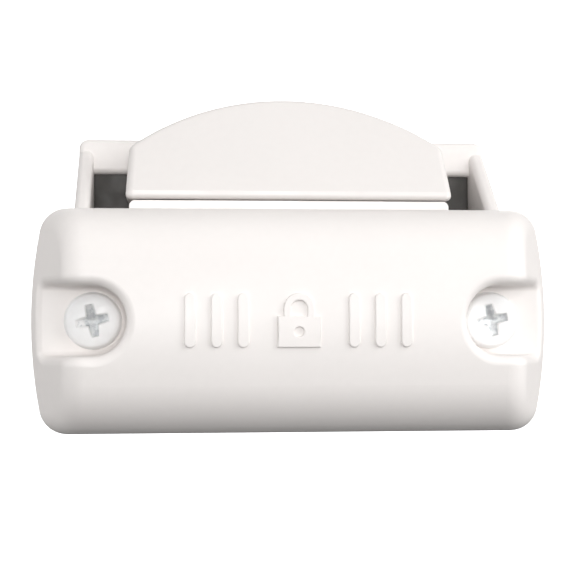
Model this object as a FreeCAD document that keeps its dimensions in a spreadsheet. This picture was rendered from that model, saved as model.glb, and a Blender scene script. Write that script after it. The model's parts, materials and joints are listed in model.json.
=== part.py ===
import FreeCAD, Part
import math
import os
import Sketcher

# Stair gate latch for a wall. Millimetres. The wall is the plane Y = 0, the front faces -Y,
# Z is up and the origin is the centre of the wall plate's four screw holes.
# "Depth" is the distance in front of the wall, so a point at depth d has Y = -d.

document = FreeCAD.newDocument("StairGateLatch")
sheet = document.addObject("Spreadsheet::Sheet", "Dimensions")
nodes = {}


# ---------------------------------------------------------------- sizes and formulas
class Size:
    """A length that carries its number and the sheet formula that gives it."""

    def __init__(self, number, formula):
        self.number = number
        self.formula = formula

    def __add__(self, other):
        return Size(self.number + number_of(other), f"({self.formula} + {formula_of(other)})")

    def __radd__(self, other):
        return self + other

    def __sub__(self, other):
        return Size(self.number - number_of(other), f"({self.formula} - {formula_of(other)})")

    def __rsub__(self, other):
        return Size(number_of(other) - self.number, f"({formula_of(other)} - {self.formula})")

    def __mul__(self, other):
        return Size(self.number * number_of(other), f"({self.formula} * {formula_of(other)})")

    def __rmul__(self, other):
        return self * other

    def __truediv__(self, other):
        return Size(self.number / number_of(other), f"({self.formula} / {formula_of(other)})")

    def __neg__(self):
        return Size(-self.number, f"(-1 * {self.formula})")


def number_of(value):
    return value.number if isinstance(value, Size) else float(value)


def formula_of(value):
    return value.formula if isinstance(value, Size) else repr(float(value))


def root_of(value):
    return Size(math.sqrt(value.number), f"sqrt({value.formula})")


def tangent_of(angle):
    return Size(math.tan(math.radians(angle.number)), f"tan({angle.formula} * 1deg)")


def size(name, number, note):
    """Write one driving dimension in the sheet and return it."""
    row = size.rows = size.rows + 1
    sheet.set(f"A{row}", name)
    sheet.set(f"B{row}", str(number))
    sheet.set(f"C{row}", note)
    sheet.setAlias(f"B{row}", name)
    return Size(number, f"Dimensions.{name}")


size.rows = 0

# Front cover
cover_width = size("cover_width", 80.0, "widest span of the cover, at its rim")
cover_height = size("cover_height", 34.6, "height of the cover at its rim")
cover_depth = size("cover_depth", 11.5, "from the cover's rim to its front")
cover_wall = size("cover_wall", 2.2, "wall of the cover")
cover_end_lean = size("cover_end_lean", 6.25, "how far an end leans in from the rim to the front")
end_bow_radius = size("end_bow_radius", 74.0, "bow of the cover's ends")
edge_band = size("edge_band", 7.6, "height of the rounded shoulder above the front bow")
front_bow_share = size("front_bow_share", 0.277142857143, "half height of the front bow over its radius")
cover_draft = size("cover_draft", 4.0, "lean of the cover's top and bottom, degrees")
end_round = size("end_round", 4.0, "rounding between the front and the ends")
rib_thickness = size("rib_thickness", 1.6, "stiffening ribs inside the cover")
rib_spacing = size("rib_spacing", 26.0, "between the two outer ribs of the cover")

# Screws through the cover, and their recesses
screw_inset = size("screw_inset", 9.5, "from the cover's end to the screw's axis")
screw_radius = size("screw_radius", 2.0, "thread of the cover screws")
screw_clearance = size("screw_clearance", 0.2, "around the thread in the cover and housing")
screw_head_radius = size("screw_head_radius", 4.35, "pan head of the cover screws")
screw_head_height = size("screw_head_height", 2.6, "height of the pan head")
cross_width = size("cross_width", 1.15, "width of the cross recess's arms")
cross_length = size("cross_length", 5.0, "span of the cross recess")
cross_depth = size("cross_depth", 1.6, "depth of the cross recess")
cross_turn = size("cross_turn", 12.0, "turn of the cross recess, degrees")
recess_depth = size("recess_depth", 9.5, "from the front to the recess floor")
recess_wall = size("recess_wall", 1.8, "floor of the recess")
recess_radius = size("recess_radius", 5.3, "half width of the recess")
recess_round = size("recess_round", 1.3, "soft edge of the recess")
recess_cove = size("recess_cove", 0.8, "cove between the recess's floor and walls")
boss_radius = size("boss_radius", 3.6, "bosses around the cover screws")
nut_radius = size("nut_radius", 3.4, "press nuts on the wall plate")
nut_height = size("nut_height", 3.6, "press nuts on the wall plate")
thread_gap = size("thread_gap", 0.05, "around a thread in its nut or pilot hole")

# Raised mark: a padlock between bars
mark_height = size("mark_height", 0.45, "how far the mark stands proud")
mark_span = size("mark_span", 8.0, "height of the mark")
mark_round = size("mark_round", 0.2, "soft edge of the mark")
bar_width = size("bar_width", 1.7, "width of one bar of the mark")
bar_pitch = size("bar_pitch", 3.9, "from one bar to the next")
bar_start = size("bar_start", 8.2, "from the middle to the first bar")
lock_width = size("lock_width", 6.4, "width of the padlock's body")
lock_height = size("lock_height", 4.6, "height of the padlock's body")
shackle_width = size("shackle_width", 4.6, "outer width of the padlock's shackle")
shackle_bar = size("shackle_bar", 1.1, "thickness of the padlock's shackle")
keyhole_radius = size("keyhole_radius", 0.7, "keyhole of the padlock")

# Back housing
housing_depth = size("housing_depth", 18.0, "from the wall to the cover's rim")
housing_inset = size("housing_inset", 1.0, "step from the cover in to the housing")
housing_wall = size("housing_wall", 2.0, "outer walls of the housing")
housing_round = size("housing_round", 3.0, "corners of the housing")
bulkhead_wall = size("bulkhead_wall", 1.4, "front wall of the housing")
register_height = size("register_height", 1.4, "lip that centres the cover")
register_wall = size("register_wall", 1.2, "lip that centres the cover")
register_gap = size("register_gap", 1.2, "from the cover's inner wall to the lip")
cheek_inset = size("cheek_inset", 6.3, "from the cover's end in to the cheek")
cheek_wall = size("cheek_wall", 2.4, "thickness of a cheek")
cheek_rise = size("cheek_rise", 12.6, "from the cover's top to the cheeks' top")
cheek_foot_drop = size("cheek_foot_drop", 0.3, "where the cheek's slope starts, below the cover's top")
cheek_foot_back = size("cheek_foot_back", 1.5, "where the cheek's slope starts, behind the rim")
cheek_brow = size("cheek_brow", 2.0, "upright stretch of a cheek above its slope")
cheek_corner = size("cheek_corner", 1.5, "outer corners of the cheeks' top")
cheek_round = size("cheek_round", 1.0, "rims of the cheeks")
top_bar_depth = size("top_bar_depth", 3.4, "top bar, from the wall")
top_bar_height = size("top_bar_height", 5.7, "top bar, along Z")
web_wall = size("web_wall", 1.4, "floor of a throat")
throat_floor = size("throat_floor", 5.0, "height of a throat's floor")
throat_width = size("throat_width", 4.6, "free width of a throat")

# Wall plate
plate_thickness = size("plate_thickness", 2.0, "steel of the wall plate")
plate_gap = size("plate_gap", 0.2, "around the wall plate in the housing")
plate_lap = size("plate_lap", 1.1, "how far the wall plate reaches behind a cheek")
plate_top_cover = size("plate_top_cover", 2.2, "top bar above the wall plate")
wall_hole_radius = size("wall_hole_radius", 2.25, "wall screw holes")
wall_hole_span_x = size("wall_hole_span_x", 40.0, "between wall screw holes, along X")
wall_hole_span_z = size("wall_hole_span_z", 20.0, "between wall screw holes, along Z")
countersink_depth = size("countersink_depth", 1.4, "countersink of the wall screw holes")

# Thumb cap
cap_gap = size("cap_gap", 1.7, "from the cover's top to the cap's lip, at rest")
cap_lip_width = size("cap_lip_width", 51.6, "cap across its lip")
cap_corner_width = size("cap_corner_width", 50.6, "cap across its upper corners")
cap_corner_rise = size("cap_corner_rise", 8.7, "from the lip up to the corners")
cap_arch = size("cap_arch", 8.6, "rise of the arched top above the corners")
cap_lip_height = size("cap_lip_height", 1.3, "upright band along the cap's lip")
cap_slope = size("cap_slope", 33.0, "lean of the cap's face, degrees")
cap_back_gap = size("cap_back_gap", 0.8, "from the top bar to the cap's back")
cap_front_gap = size("cap_front_gap", 0.5, "from the bulkhead to the cap's lip")
cap_round = size("cap_round", 1.2, "rounding round the cap's face")
cap_corner_round = size("cap_corner_round", 1.6, "corners of the cap")
cap_wall = size("cap_wall", 1.3, "back wall of the cap")
cap_core_wall = size("cap_core_wall", 2.0, "plastic left around the cores of the cap")
cap_core_height = size("cap_core_height", 5.0, "height of the cores in the cap")

# Slider
button_travel = size("button_travel", 5.0, "stroke of the thumb button")
bolt_travel = size("bolt_travel", 4.0, "stroke of a bolt for the full button stroke")
slider_thickness = size("slider_thickness", 3.0, "cam plate")
slider_front_gap = size("slider_front_gap", 0.9, "from the cam plate to the bulkhead")
slider_back_gap = size("slider_back_gap", 0.3, "from the cam plate to the mechanism frame")
neck_width = size("neck_width", 50.4, "neck of the slider under the cap")
neck_height = size("neck_height", 2.9, "neck of the slider")
neck_round = size("neck_round", 0.9, "upper corners of the neck")
neck_seam = size("neck_seam", 0.2, "seam between the neck and the cap")
stem_gap = size("stem_gap", 0.7, "from the cam plate to the posts of the frame screws")
tongue_width = size("tongue_width", 30.0, "tongue of the slider inside the cap")
tongue_thickness = size("tongue_thickness", 3.0, "tongue of the slider")
tongue_height = size("tongue_height", 7.1, "tongue of the slider above the neck")
tongue_setback = size("tongue_setback", 1.7, "from the neck's front to the tongue's root")
tongue_root_height = size("tongue_root_height", 1.5, "root of the tongue")
tongue_gap = size("tongue_gap", 0.2, "around the tongue in the cap")
foot_width = size("foot_width", 6.0, "foot that presses on a spring")
foot_height = size("foot_height", 3.0, "foot that presses on a spring")
foot_depth = size("foot_depth", 3.5, "foot behind the cam plate")
foot_drop = size("foot_drop", 2.0, "from the bolts down to the feet")

# Bolts and drive pins
bolt_height = size("bolt_height", 5.0, "bolt along Z")
bolt_thickness = size("bolt_thickness", 5.0, "bolt along Y")
bolt_front_gap = size("bolt_front_gap", 0.4, "from the bolt to the mechanism frame's front")
bolt_reach = size("bolt_reach", 3.7, "nose of the bolt in the throat")
bolt_lead = size("bolt_lead", 3.2, "slanted top of the bolt's nose")
bolt_centre_gap = size("bolt_centre_gap", 8.0, "between the two bolts when drawn in")
bolt_gap = size("bolt_gap", 0.15, "around a bolt in its channel")
pin_radius = size("pin_radius", 1.5, "drive pin")
pin_fit = size("pin_fit", 0.02, "around a drive pin in its bolt")
pin_slot_gap = size("pin_slot_gap", 0.15, "around a drive pin in its slot")
pin_setback = size("pin_setback", 6.0, "from the bolt's inner end to its pin")
clip_radius = size("clip_radius", 2.6, "snap ring on the drive pin")
clip_thickness = size("clip_thickness", 0.4, "snap ring on the drive pin")
clip_gap = size("clip_gap", 0.12, "from the cam plate to the snap ring")
clip_groove = size("clip_groove", 0.3, "depth of the snap ring's groove")
clip_mouth = size("clip_mouth", 1.6, "open mouth of the snap ring")

# Mechanism frame and springs
frame_side_gap = size("frame_side_gap", 0.2, "from the mechanism frame to the throat")
frame_top_gap = size("frame_top_gap", 0.4, "from the mechanism frame to the pressed cap")
frame_back_wall = size("frame_back_wall", 2.6, "mechanism frame behind the bolts")
frame_top_wall = size("frame_top_wall", 1.45, "mechanism frame above the bolts")
frame_floor = size("frame_floor", 2.0, "mechanism frame below the springs")
flange_wall = size("flange_wall", 1.0, "side flanges of the mechanism frame")
flange_gap = size("flange_gap", 0.2, "from the flanges to the bulkhead")
frame_screw_inset = size("frame_screw_inset", 4.8, "from the frame's side to its screws")
frame_screw_drop = size("frame_screw_drop", 4.0, "from the bolts to the upper frame screws")
frame_screw_rise = size("frame_screw_rise", 3.5, "from the frame's bottom to its lower screws")
frame_screw_radius = size("frame_screw_radius", 1.45, "frame screws")
frame_head_radius = size("frame_head_radius", 2.5, "heads of the frame screws")
frame_head_height = size("frame_head_height", 2.0, "heads of the frame screws")
frame_boss_radius = size("frame_boss_radius", 3.0, "housing bosses for the frame screws")
keeper_gap = size("keeper_gap", 0.3, "from a keeper rib to its bolt")
keeper_width = size("keeper_width", 5.0, "keeper ribs that hold the bolts in")
keeper_height = size("keeper_height", 3.2, "keeper ribs that hold the bolts in")
spring_radius = size("spring_radius", 3.0, "outside of a return spring")
spring_wire = size("spring_wire", 0.7, "wire of a return spring")
spring_length = size("spring_length", 14.0, "return spring at rest")
spring_pitch = size("spring_pitch", 1.9, "return spring at rest")
spring_spacing = size("spring_spacing", 24.0, "between the two return springs")
spring_seat_gap = size("spring_seat_gap", 0.3, "between a spring and its seat post")
seat_post_height = size("seat_post_height", 2.2, "posts that centre the springs")
pocket_gap = size("pocket_gap", 0.4, "around a slider foot in the mechanism frame")
buffer_thickness = size("buffer_thickness", 0.9, "rubber stop above a slider foot")
buffer_gap = size("buffer_gap", 0.2, "from a slider foot to its rubber stop")
cap_screw_spacing = size("cap_screw_spacing", 18.0, "between the cap screws")
cap_screw_rise = size("cap_screw_rise", 4.5, "from the lip to the cap screws")
cap_screw_radius = size("cap_screw_radius", 1.1, "cap screws")
cap_screw_head = size("cap_screw_head", 2.2, "countersunk heads of the cap screws")
pad_thickness = size("pad_thickness", 1.4, "rubber striker pads")
pad_gap = size("pad_gap", 0.2, "around a striker pad in its throat")
pad_round = size("pad_round", 0.5, "edges of a striker pad")
overcut = size("overcut", 2.0, "how far a cutting tool runs past the material")

# Planes and places that several pieces share
half_width = cover_width / 2
half_height = cover_height / 2
rim = housing_depth
front = rim + cover_depth
front_bow_radius = (half_height - edge_band) / front_bow_share
screw_x = half_width - screw_inset
recess_floor = front - recess_depth
bulkhead_back = rim - bulkhead_wall
cheek_outer = half_width - cheek_inset
cheek_inner = cheek_outer - cheek_wall
cheek_top = half_height + cheek_rise
top_bar_bottom = cheek_top - top_bar_height
throat_inner = cheek_inner - throat_width
web_bottom = throat_floor - web_wall
frame_half = throat_inner - frame_side_gap

slider_front = bulkhead_back - slider_front_gap
slider_back = slider_front - slider_thickness
frame_front = slider_back - slider_back_gap
bolt_front = frame_front - bolt_front_gap
bolt_back = bolt_front - bolt_thickness
frame_back = bolt_back - frame_back_wall

lip_bottom = half_height + cap_gap
cap_back = top_bar_depth + cap_back_gap
cap_front = bulkhead_back - cap_front_gap
neck_top = lip_bottom - neck_seam
neck_bottom = neck_top - neck_height
tongue_top = neck_top + tongue_height
tongue_back = cap_back + cap_wall + tongue_gap
tongue_front = tongue_back + tongue_thickness
tongue_root_front = slider_front - tongue_setback
tongue_root_top = neck_top + tongue_root_height
cap_screw_z = lip_bottom + cap_screw_rise

frame_top = lip_bottom - button_travel - frame_top_gap
bolt_top = frame_top - frame_top_wall - bolt_gap
bolt_bottom = bolt_top - bolt_height
bolt_z = (bolt_top + bolt_bottom) / 2
bolt_inner = bolt_centre_gap / 2 + bolt_travel
bolt_tip = frame_half + bolt_reach
pin_x = bolt_inner + pin_setback
pin_end = slider_front + clip_gap + clip_thickness + clip_gap

foot_top = bolt_bottom - foot_drop
foot_bottom = foot_top - foot_height
foot_back = slider_back - foot_depth
foot_left = spring_spacing / 2 - foot_width / 2
foot_right = spring_spacing / 2 + foot_width / 2
buffer_bottom = foot_top + buffer_gap
pocket_top = buffer_bottom + buffer_thickness
pocket_back = foot_back - pocket_gap
spring_x = spring_spacing / 2
spring_depth = (foot_back + slider_front) / 2
spring_bottom = foot_bottom - spring_length
frame_bottom = spring_bottom - frame_floor
post_radius = spring_radius - spring_wire - spring_seat_gap

frame_screw_x = frame_half - frame_screw_inset
stem_half = frame_screw_x - frame_boss_radius - stem_gap
frame_screw_zs = (bolt_bottom - frame_screw_drop, frame_bottom + frame_screw_rise)
frame_head_front = frame_back + frame_head_height
frame_screw_end = bulkhead_back + bulkhead_wall / 4


# ---------------------------------------------------------------- building blocks
def bind(thing, path, value):
    thing.setExpression(path, formula_of(value))


def place(thing, x, y, z, rotation=None):
    base = FreeCAD.Vector(number_of(x), number_of(y), number_of(z))
    thing.Placement = FreeCAD.Placement(base, rotation or FreeCAD.Rotation())
    bind(thing, "Placement.Base.x", x)
    bind(thing, "Placement.Base.y", y)
    bind(thing, "Placement.Base.z", z)


def block(name, x, depth, z):
    """A box between two planes along X, in depth and along Z."""
    box = document.addObject("Part::Box", name)
    bind(box, "Length", x[1] - x[0])
    bind(box, "Width", depth[1] - depth[0])
    bind(box, "Height", z[1] - z[0])
    place(box, x[0], 0 - depth[1], z[0])
    return box


def upright(name, x, depth, span, radius):
    """A cylinder along Z."""
    rod = document.addObject("Part::Cylinder", name)
    bind(rod, "Radius", radius)
    bind(rod, "Height", span[1] - span[0])
    place(rod, x, 0 - depth, span[0])
    return rod


def spindle(name, x, z, span, radius, far_radius=None):
    """A cylinder, or a cone if it ends in another radius, that runs away from the wall."""
    kind = "Part::Cylinder" if far_radius is None else "Part::Cone"
    rod = document.addObject(kind, name)
    if far_radius is None:
        bind(rod, "Radius", radius)
    else:
        bind(rod, "Radius1", radius)
        bind(rod, "Radius2", far_radius)
    bind(rod, "Height", span[1] - span[0])
    outwards = FreeCAD.Rotation(FreeCAD.Vector(1, 0, 0), 90)
    place(rod, x, 0 - span[0], z, outwards)
    return rod


def fuse(name, *shapes):
    union = document.addObject("Part::MultiFuse", name)
    union.Shapes = list(shapes)
    union.Refine = True
    return union


def group(name, *shapes):
    """Separate solids that stay separate."""
    bundle = document.addObject("Part::Compound", name)
    bundle.Links = list(shapes)
    return bundle


def cut(name, base, *tools):
    result = document.addObject("Part::Cut", name)
    result.Base = base
    result.Tool = tools[0] if len(tools) == 1 else fuse(name + "Tools", *tools)
    result.Refine = True
    return result


def common(name, first, second):
    result = document.addObject("Part::Common", name)
    result.Base = first
    result.Tool = second
    result.Refine = True
    return result


def mirrored(name, source):
    """The same piece on the other side of the plane X = 0."""
    twin = document.addObject("Part::Mirroring", name)
    twin.Source = source
    twin.Normal = FreeCAD.Vector(1, 0, 0)
    return twin


def rounded(name, base, *rounds):
    """Fillets; each round is a radius and a test that picks its edges."""
    document.recompute()
    picked = []
    for radius, wanted in rounds:
        for index, edge in enumerate(base.Shape.Edges, 1):
            if wanted(edge):
                picked.append((index, number_of(radius), number_of(radius)))
    if not picked:
        raise RuntimeError(f"{name}: no edge to round")
    result = document.addObject("Part::Fillet", name)
    result.Base = base
    result.Edges = picked
    document.recompute()
    return result


def reach(edge):
    """Lowest and highest X, depth and Z of an edge."""
    corners = edge.BoundBox
    return (corners.XMin, corners.XMax), (-corners.YMax, -corners.YMin), (corners.ZMin, corners.ZMax)


def at(span, level):
    """Whether an edge lies in a plane: its whole span is at one level."""
    return all(abs(end - number_of(level)) < 0.01 for end in span)


def along_depth(edge):
    x, depth, z = reach(edge)
    return x[1] - x[0] < 0.01 and z[1] - z[0] < 0.01 and depth[1] - depth[0] > 0.1


def origin_plane(body, role):
    return next(plane for plane in body.Origin.OriginFeatures if plane.Role == role)


def new_sketch(body, name, role, level):
    """An empty sketch at a level: a depth on XZ, an X on YZ, a Z on XY."""
    sketch = body.newObject("Sketcher::SketchObject", name)
    sketch.AttachmentSupport = [(origin_plane(body, role), "")]
    sketch.MapMode = "FlatFace"
    bind(sketch, "AttachmentOffset.Base.z", level)
    return sketch


def pin_point(sketch, geometry, point, x, y):
    """Fix a point of a sketch by its two coordinates."""
    for kind, axis, value in (("DistanceX", -2, x), ("DistanceY", -1, y)):
        if abs(number_of(value)) < 1e-9:
            sketch.addConstraint(Sketcher.Constraint("PointOnObject", geometry, point, axis))
        else:
            rule = Sketcher.Constraint(kind, -1, 1, geometry, point, number_of(value))
            index = sketch.addConstraint(rule)
            bind(sketch, f"Constraints[{index}]", value)


def outline(sketch, points, bulges=None):
    """A closed outline, anticlockwise; a side in bulges is an arc of that radius, outwards."""
    bulges = bulges or {}
    corners = [FreeCAD.Vector(number_of(x), number_of(y), 0) for x, y in points]
    count = len(corners)
    for side in range(count):
        start = corners[side]
        end = corners[(side + 1) % count]
        if side not in bulges:
            sketch.addGeometry(Part.LineSegment(start, end), False)
            continue
        radius = number_of(bulges[side])
        chord = end - start
        inwards = FreeCAD.Vector(-chord.y, chord.x, 0).normalize()
        rise = math.sqrt(radius ** 2 - (chord.Length / 2) ** 2)
        centre = (start + end) / 2 + inwards * rise
        first = math.atan2(start.y - centre.y, start.x - centre.x)
        last = math.atan2(end.y - centre.y, end.x - centre.x)
        if last < first:
            last += 2 * math.pi
        circle = Part.Circle(centre, FreeCAD.Vector(0, 0, 1), radius)
        sketch.addGeometry(Part.ArcOfCircle(circle, first, last), False)
    for side in range(count):
        sketch.addConstraint(Sketcher.Constraint("Coincident", side, 2, (side + 1) % count, 1))
    for side, (x, y) in enumerate(points):
        pin_point(sketch, side, 1, x, y)
    for side, radius in bulges.items():
        index = sketch.addConstraint(Sketcher.Constraint("Radius", side, number_of(radius)))
        bind(sketch, f"Constraints[{index}]", radius)


def prism(name, role, levels, points, bulges=None):
    """A body: one outline padded from one level to another."""
    body = document.addObject("PartDesign::Body", name)
    sketch = new_sketch(body, name + "Outline", role, levels[0])
    outline(sketch, points, bulges)
    pad = body.newObject("PartDesign::Pad", name + "Pad")
    pad.Profile = sketch
    bind(pad, "Length", levels[1] - levels[0])
    return body


def side_prism(name, levels, points):
    """A prism along X whose outline is given as depth and Z, clockwise in that view."""
    return prism(name, "YZ_Plane", levels, [(0 - depth, z) for depth, z in points])


def turned(name, levels, centre, points):
    """A round piece along the depth axis: radius and depth pairs, turned about its own axis."""
    body = document.addObject("PartDesign::Body", name)
    sketch = new_sketch(body, name + "Outline", "YZ_Plane", 0)
    outline(sketch, [(0 - depth, radius) for radius, depth in points])
    turn = body.newObject("PartDesign::Revolution", name + "Turn")
    turn.Profile = sketch
    turn.ReferenceAxis = (sketch, ["H_Axis"])
    place(body, centre[0], 0 - levels, centre[1])
    return body


def node(name, thing):
    """Name a finished sub-part."""
    thing.Label = name
    nodes[name] = thing
    return thing


# ---------------------------------------------------------------- front cover
def bow_loss(tall):
    """How much narrower a bowed end is at a height than at the middle."""
    return end_bow_radius - root_of(end_bow_radius * end_bow_radius - tall * tall)


def bowed_points(half, tall):
    """Corners and end arcs of an outline with bowed ends; half is the widest half width."""
    corner = half - bow_loss(tall)
    points = [(-corner, -tall), (corner, -tall), (corner, tall), (-corner, tall)]
    return points, {1: end_bow_radius, 3: end_bow_radius}


def end_form(name, inset):
    """The cover's width: bowed ends that lean in towards the front."""
    body = document.addObject("PartDesign::Body", name)
    tall = half_height + overcut
    rim_sketch = new_sketch(body, name + "Rim", "XZ_Plane", rim)
    outline(rim_sketch, *bowed_points(half_width - inset, tall))
    front_sketch = new_sketch(body, name + "Front", "XZ_Plane", front + overcut)
    lean = cover_end_lean * (cover_depth + overcut) / cover_depth
    outline(front_sketch, *bowed_points(half_width - lean - inset, tall))
    loft = body.newObject("PartDesign::AdditiveLoft", name + "Loft")
    loft.Profile = rim_sketch
    loft.Sections = [front_sketch]
    loft.Ruled = True
    return body


def bow_form(name, inset):
    """The cover's side view: bowed front, rounded shoulders, drafted top and bottom."""
    body = document.addObject("PartDesign::Body", name)
    sketch = new_sketch(body, name + "Outline", "YZ_Plane", -half_width - overcut)
    centre = front_bow_radius - front
    radius = front_bow_radius - inset
    crest = (half_height - edge_band) * radius / front_bow_radius
    edge = half_height - inset
    shoulder = edge_band
    turn = math.asin(number_of(crest) / number_of(radius))
    draft = math.radians(number_of(cover_draft))
    hub = number_of(centre)
    run = number_of(radius) - number_of(shoulder)
    upwards = FreeCAD.Vector(0, 0, 1)
    crown = Part.Circle(FreeCAD.Vector(hub, 0, 0), upwards, number_of(radius))
    sketch.addGeometry(Part.ArcOfCircle(crown, math.pi - turn, math.pi + turn), False)
    for sign in (1, -1):
        middle = FreeCAD.Vector(hub - run * math.cos(turn), sign * run * math.sin(turn), 0)
        small = Part.Circle(middle, upwards, number_of(shoulder))
        angles = (math.pi / 2 + draft, math.pi - turn)
        if sign < 0:
            angles = (math.pi + turn, 3 * math.pi / 2 - draft)
        sketch.addGeometry(Part.ArcOfCircle(small, *angles), False)
        shoulder_end = middle + FreeCAD.Vector(0, sign * number_of(shoulder), 0)
        rim_end = FreeCAD.Vector(-number_of(rim), sign * number_of(edge), 0)
        sketch.addGeometry(Part.LineSegment(shoulder_end, rim_end), False)
    top = FreeCAD.Vector(-number_of(rim), number_of(edge), 0)
    bottom = FreeCAD.Vector(top.x, -top.y, 0)
    sketch.addGeometry(Part.LineSegment(bottom, top), False)
    crown_arc, top_arc, top_line, low_arc, low_line, rim_line = range(6)
    joints = (
        Sketcher.Constraint("Tangent", top_arc, 2, crown_arc, 1),
        Sketcher.Constraint("Tangent", top_line, 1, top_arc, 1),
        Sketcher.Constraint("Tangent", crown_arc, 2, low_arc, 1),
        Sketcher.Constraint("Tangent", low_arc, 2, low_line, 1),
        Sketcher.Constraint("Coincident", top_line, 2, rim_line, 2),
        Sketcher.Constraint("Coincident", low_line, 2, rim_line, 1),
        Sketcher.Constraint("Vertical", rim_line),
    )
    for rule in joints:
        sketch.addConstraint(rule)
    pin_point(sketch, crown_arc, 3, centre, 0)
    pin_point(sketch, top_line, 2, -rim, edge)
    driven = (
        (Sketcher.Constraint("Radius", crown_arc, number_of(radius)), radius),
        (Sketcher.Constraint("DistanceY", -1, 1, crown_arc, 1, number_of(crest)), crest),
        (Sketcher.Constraint("DistanceY", -1, 1, crown_arc, 2, -number_of(crest)), -crest),
        (Sketcher.Constraint("DistanceY", -1, 1, low_line, 2, -number_of(edge)), -edge),
        (Sketcher.Constraint("Angle", top_line, draft), Size(draft, "Dimensions.cover_draft * 1deg")),
        (Sketcher.Constraint("Angle", low_line, -draft), Size(-draft, "-Dimensions.cover_draft * 1deg")),
    )
    for rule, value in driven:
        index = sketch.addConstraint(rule)
        bind(sketch, f"Constraints[{index}]", value)
    pad = body.newObject("PartDesign::Pad", name + "Pad")
    pad.Profile = sketch
    bind(pad, "Length", cover_width + 2 * overcut)
    return body


def cover_form(name, inset):
    """The solid form of the cover, or the same form set in by a distance."""
    return common(name, end_form(name + "Ends", inset), bow_form(name + "Bow", inset))


def recess_tool(name, side):
    """The open-ended recess of one cover screw: round inside, straight out to the end."""
    centre = side * screw_x
    outside = side * (half_width + overcut)
    ends = (centre, outside) if side > 0 else (outside, centre)
    span = (recess_floor, front + overcut)
    channel = block(name + "Channel", ends, span, (-recess_radius, recess_radius))
    sharp = fuse(name + "Sharp", channel, spindle(name + "Round", centre, 0, span, recess_radius))

    def floor_edge(edge):
        x, depth, _ = reach(edge)
        return at(depth, recess_floor) and x[1] - x[0] > 0.1

    return rounded(name, sharp, (recess_cove, floor_edge))


def recess_pod(name, side):
    """Plastic inside the cover that carries the floor and walls of a recess, and its boss."""
    centre = side * screw_x
    outside = side * (half_width + overcut)
    ends = (centre, outside) if side > 0 else (outside, centre)
    radius = recess_radius + cover_wall
    span = (recess_floor - recess_wall, front + overcut)
    channel = block(name + "Channel", ends, span, (-radius, radius))
    hub = spindle(name + "Round", centre, 0, span, radius)
    boss = spindle(name + "Boss", centre, 0, (rim - overcut, recess_floor), boss_radius)
    return fuse(name, channel, hub, boss)


def pill(name, x, z, half):
    """A bar of the raised mark with round ends, from deep in the cover to past its front."""
    span = (front - cover_wall, front + overcut)
    middle = block(name + "Middle", (x - half, x + half), span, (z[0] + half, z[1] - half))
    foot = spindle(name + "Foot", x, z[0] + half, span, half)
    head = spindle(name + "Head", x, z[1] - half, span, half)
    return fuse(name, middle, foot, head)


def padlock():
    """The padlock of the raised mark."""
    span = (front - cover_wall, front + overcut)
    bottom = 0 - mark_span / 2
    shoulder = bottom + lock_height
    half = lock_width / 2
    body = block("LockBody", (-half, half), span, (bottom, shoulder))
    outer = shackle_width / 2
    inner = outer - shackle_bar
    arch = mark_span / 2 - outer
    ring = fuse(
        "ShackleOuter",
        spindle("ShackleArch", 0, arch, span, outer),
        block("ShackleLegs", (-outer, outer), span, (shoulder - shackle_bar, arch)),
    )
    hole = fuse(
        "ShackleInner",
        spindle("ShackleEye", 0, arch, span, inner),
        block("ShackleGap", (-inner, inner), span, (shoulder, arch)),
    )
    keyhole = spindle("Keyhole", 0, bottom + lock_height / 2, span, keyhole_radius)
    shackle = cut("Shackle", ring, hole)
    return cut("Padlock", fuse("LockSolid", body, shackle), keyhole)


def raised_mark():
    """Padlock and bars, cut off at an even height above the bowed front."""
    shapes = [padlock()]
    for step in range(3):
        x = bar_start + bar_pitch * step
        z = (0 - mark_span / 2, mark_span / 2)
        for side in (-1, 1):
            shapes.append(pill(f"Bar{step}{'LR'[side > 0]}", side * x, z, bar_width / 2))
    proud = common("MarkSharp", fuse("MarkShapes", *shapes), cover_form("MarkForm", -mark_height))

    def on_top(edge):
        return reach(edge)[1][0] > number_of(front) - number_of(mark_height) / 2

    return rounded("MarkSoft", proud, (mark_round, on_top))


def front_cover():
    form = cover_form("CoverForm", 0)

    def end_edge(edge):
        x, depth, _ = reach(edge)
        return x[1] - x[0] < number_of(half_width) and not at(depth, rim)

    skin = rounded("CoverRounded", form, (end_round, end_edge))
    recesses = [recess_tool("RecessL", -1), recess_tool("RecessR", 1)]
    carved = cut("CoverCarved", skin, *recesses)

    def recess_edge(edge):
        x, depth, z = reach(edge)
        beside = max(abs(x[0]), abs(x[1])) > number_of(screw_x) - number_of(recess_radius) - 0.1
        within = max(abs(z[0]), abs(z[1])) < number_of(recess_radius) + 0.1
        above = depth[1] > number_of(recess_floor) + number_of(recess_depth) / 2
        rim_edge = above and not along_depth(edge) and not at(z, 0)
        beyond = min(abs(x[0]), abs(x[1])) > number_of(screw_x) + number_of(recess_radius)
        mouth_edge = beyond and x[1] - x[0] < 1
        return beside and within and (rim_edge or mouth_edge)

    soft = rounded("CoverSoft", carved, (recess_round, recess_edge))
    pods = [recess_pod("PodL", -1), recess_pod("PodR", 1)]
    tall = (-half_height, half_height)
    for step in (-1, 0, 1):
        x = step * rib_spacing / 2
        near = x - rib_thickness / 2
        far = x + rib_thickness / 2
        lift = rim + register_height + register_gap
        pods.append(block(f"Rib{step + 1}", (near, far), (lift, front), tall))
    hollow = cut("CoverHollow", cover_form("CoverInner", cover_wall), *pods)
    shell = cut("CoverShell", soft, hollow)
    holes = []
    for side in (-1, 1):
        span = (rim - overcut, front)
        hole_radius = screw_radius + screw_clearance
        holes.append(spindle(f"CoverHole{side + 1}", side * screw_x, 0, span, hole_radius))
    return node("front_cover", fuse("FrontCover", cut("CoverDrilled", shell, *holes), raised_mark()))


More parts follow.
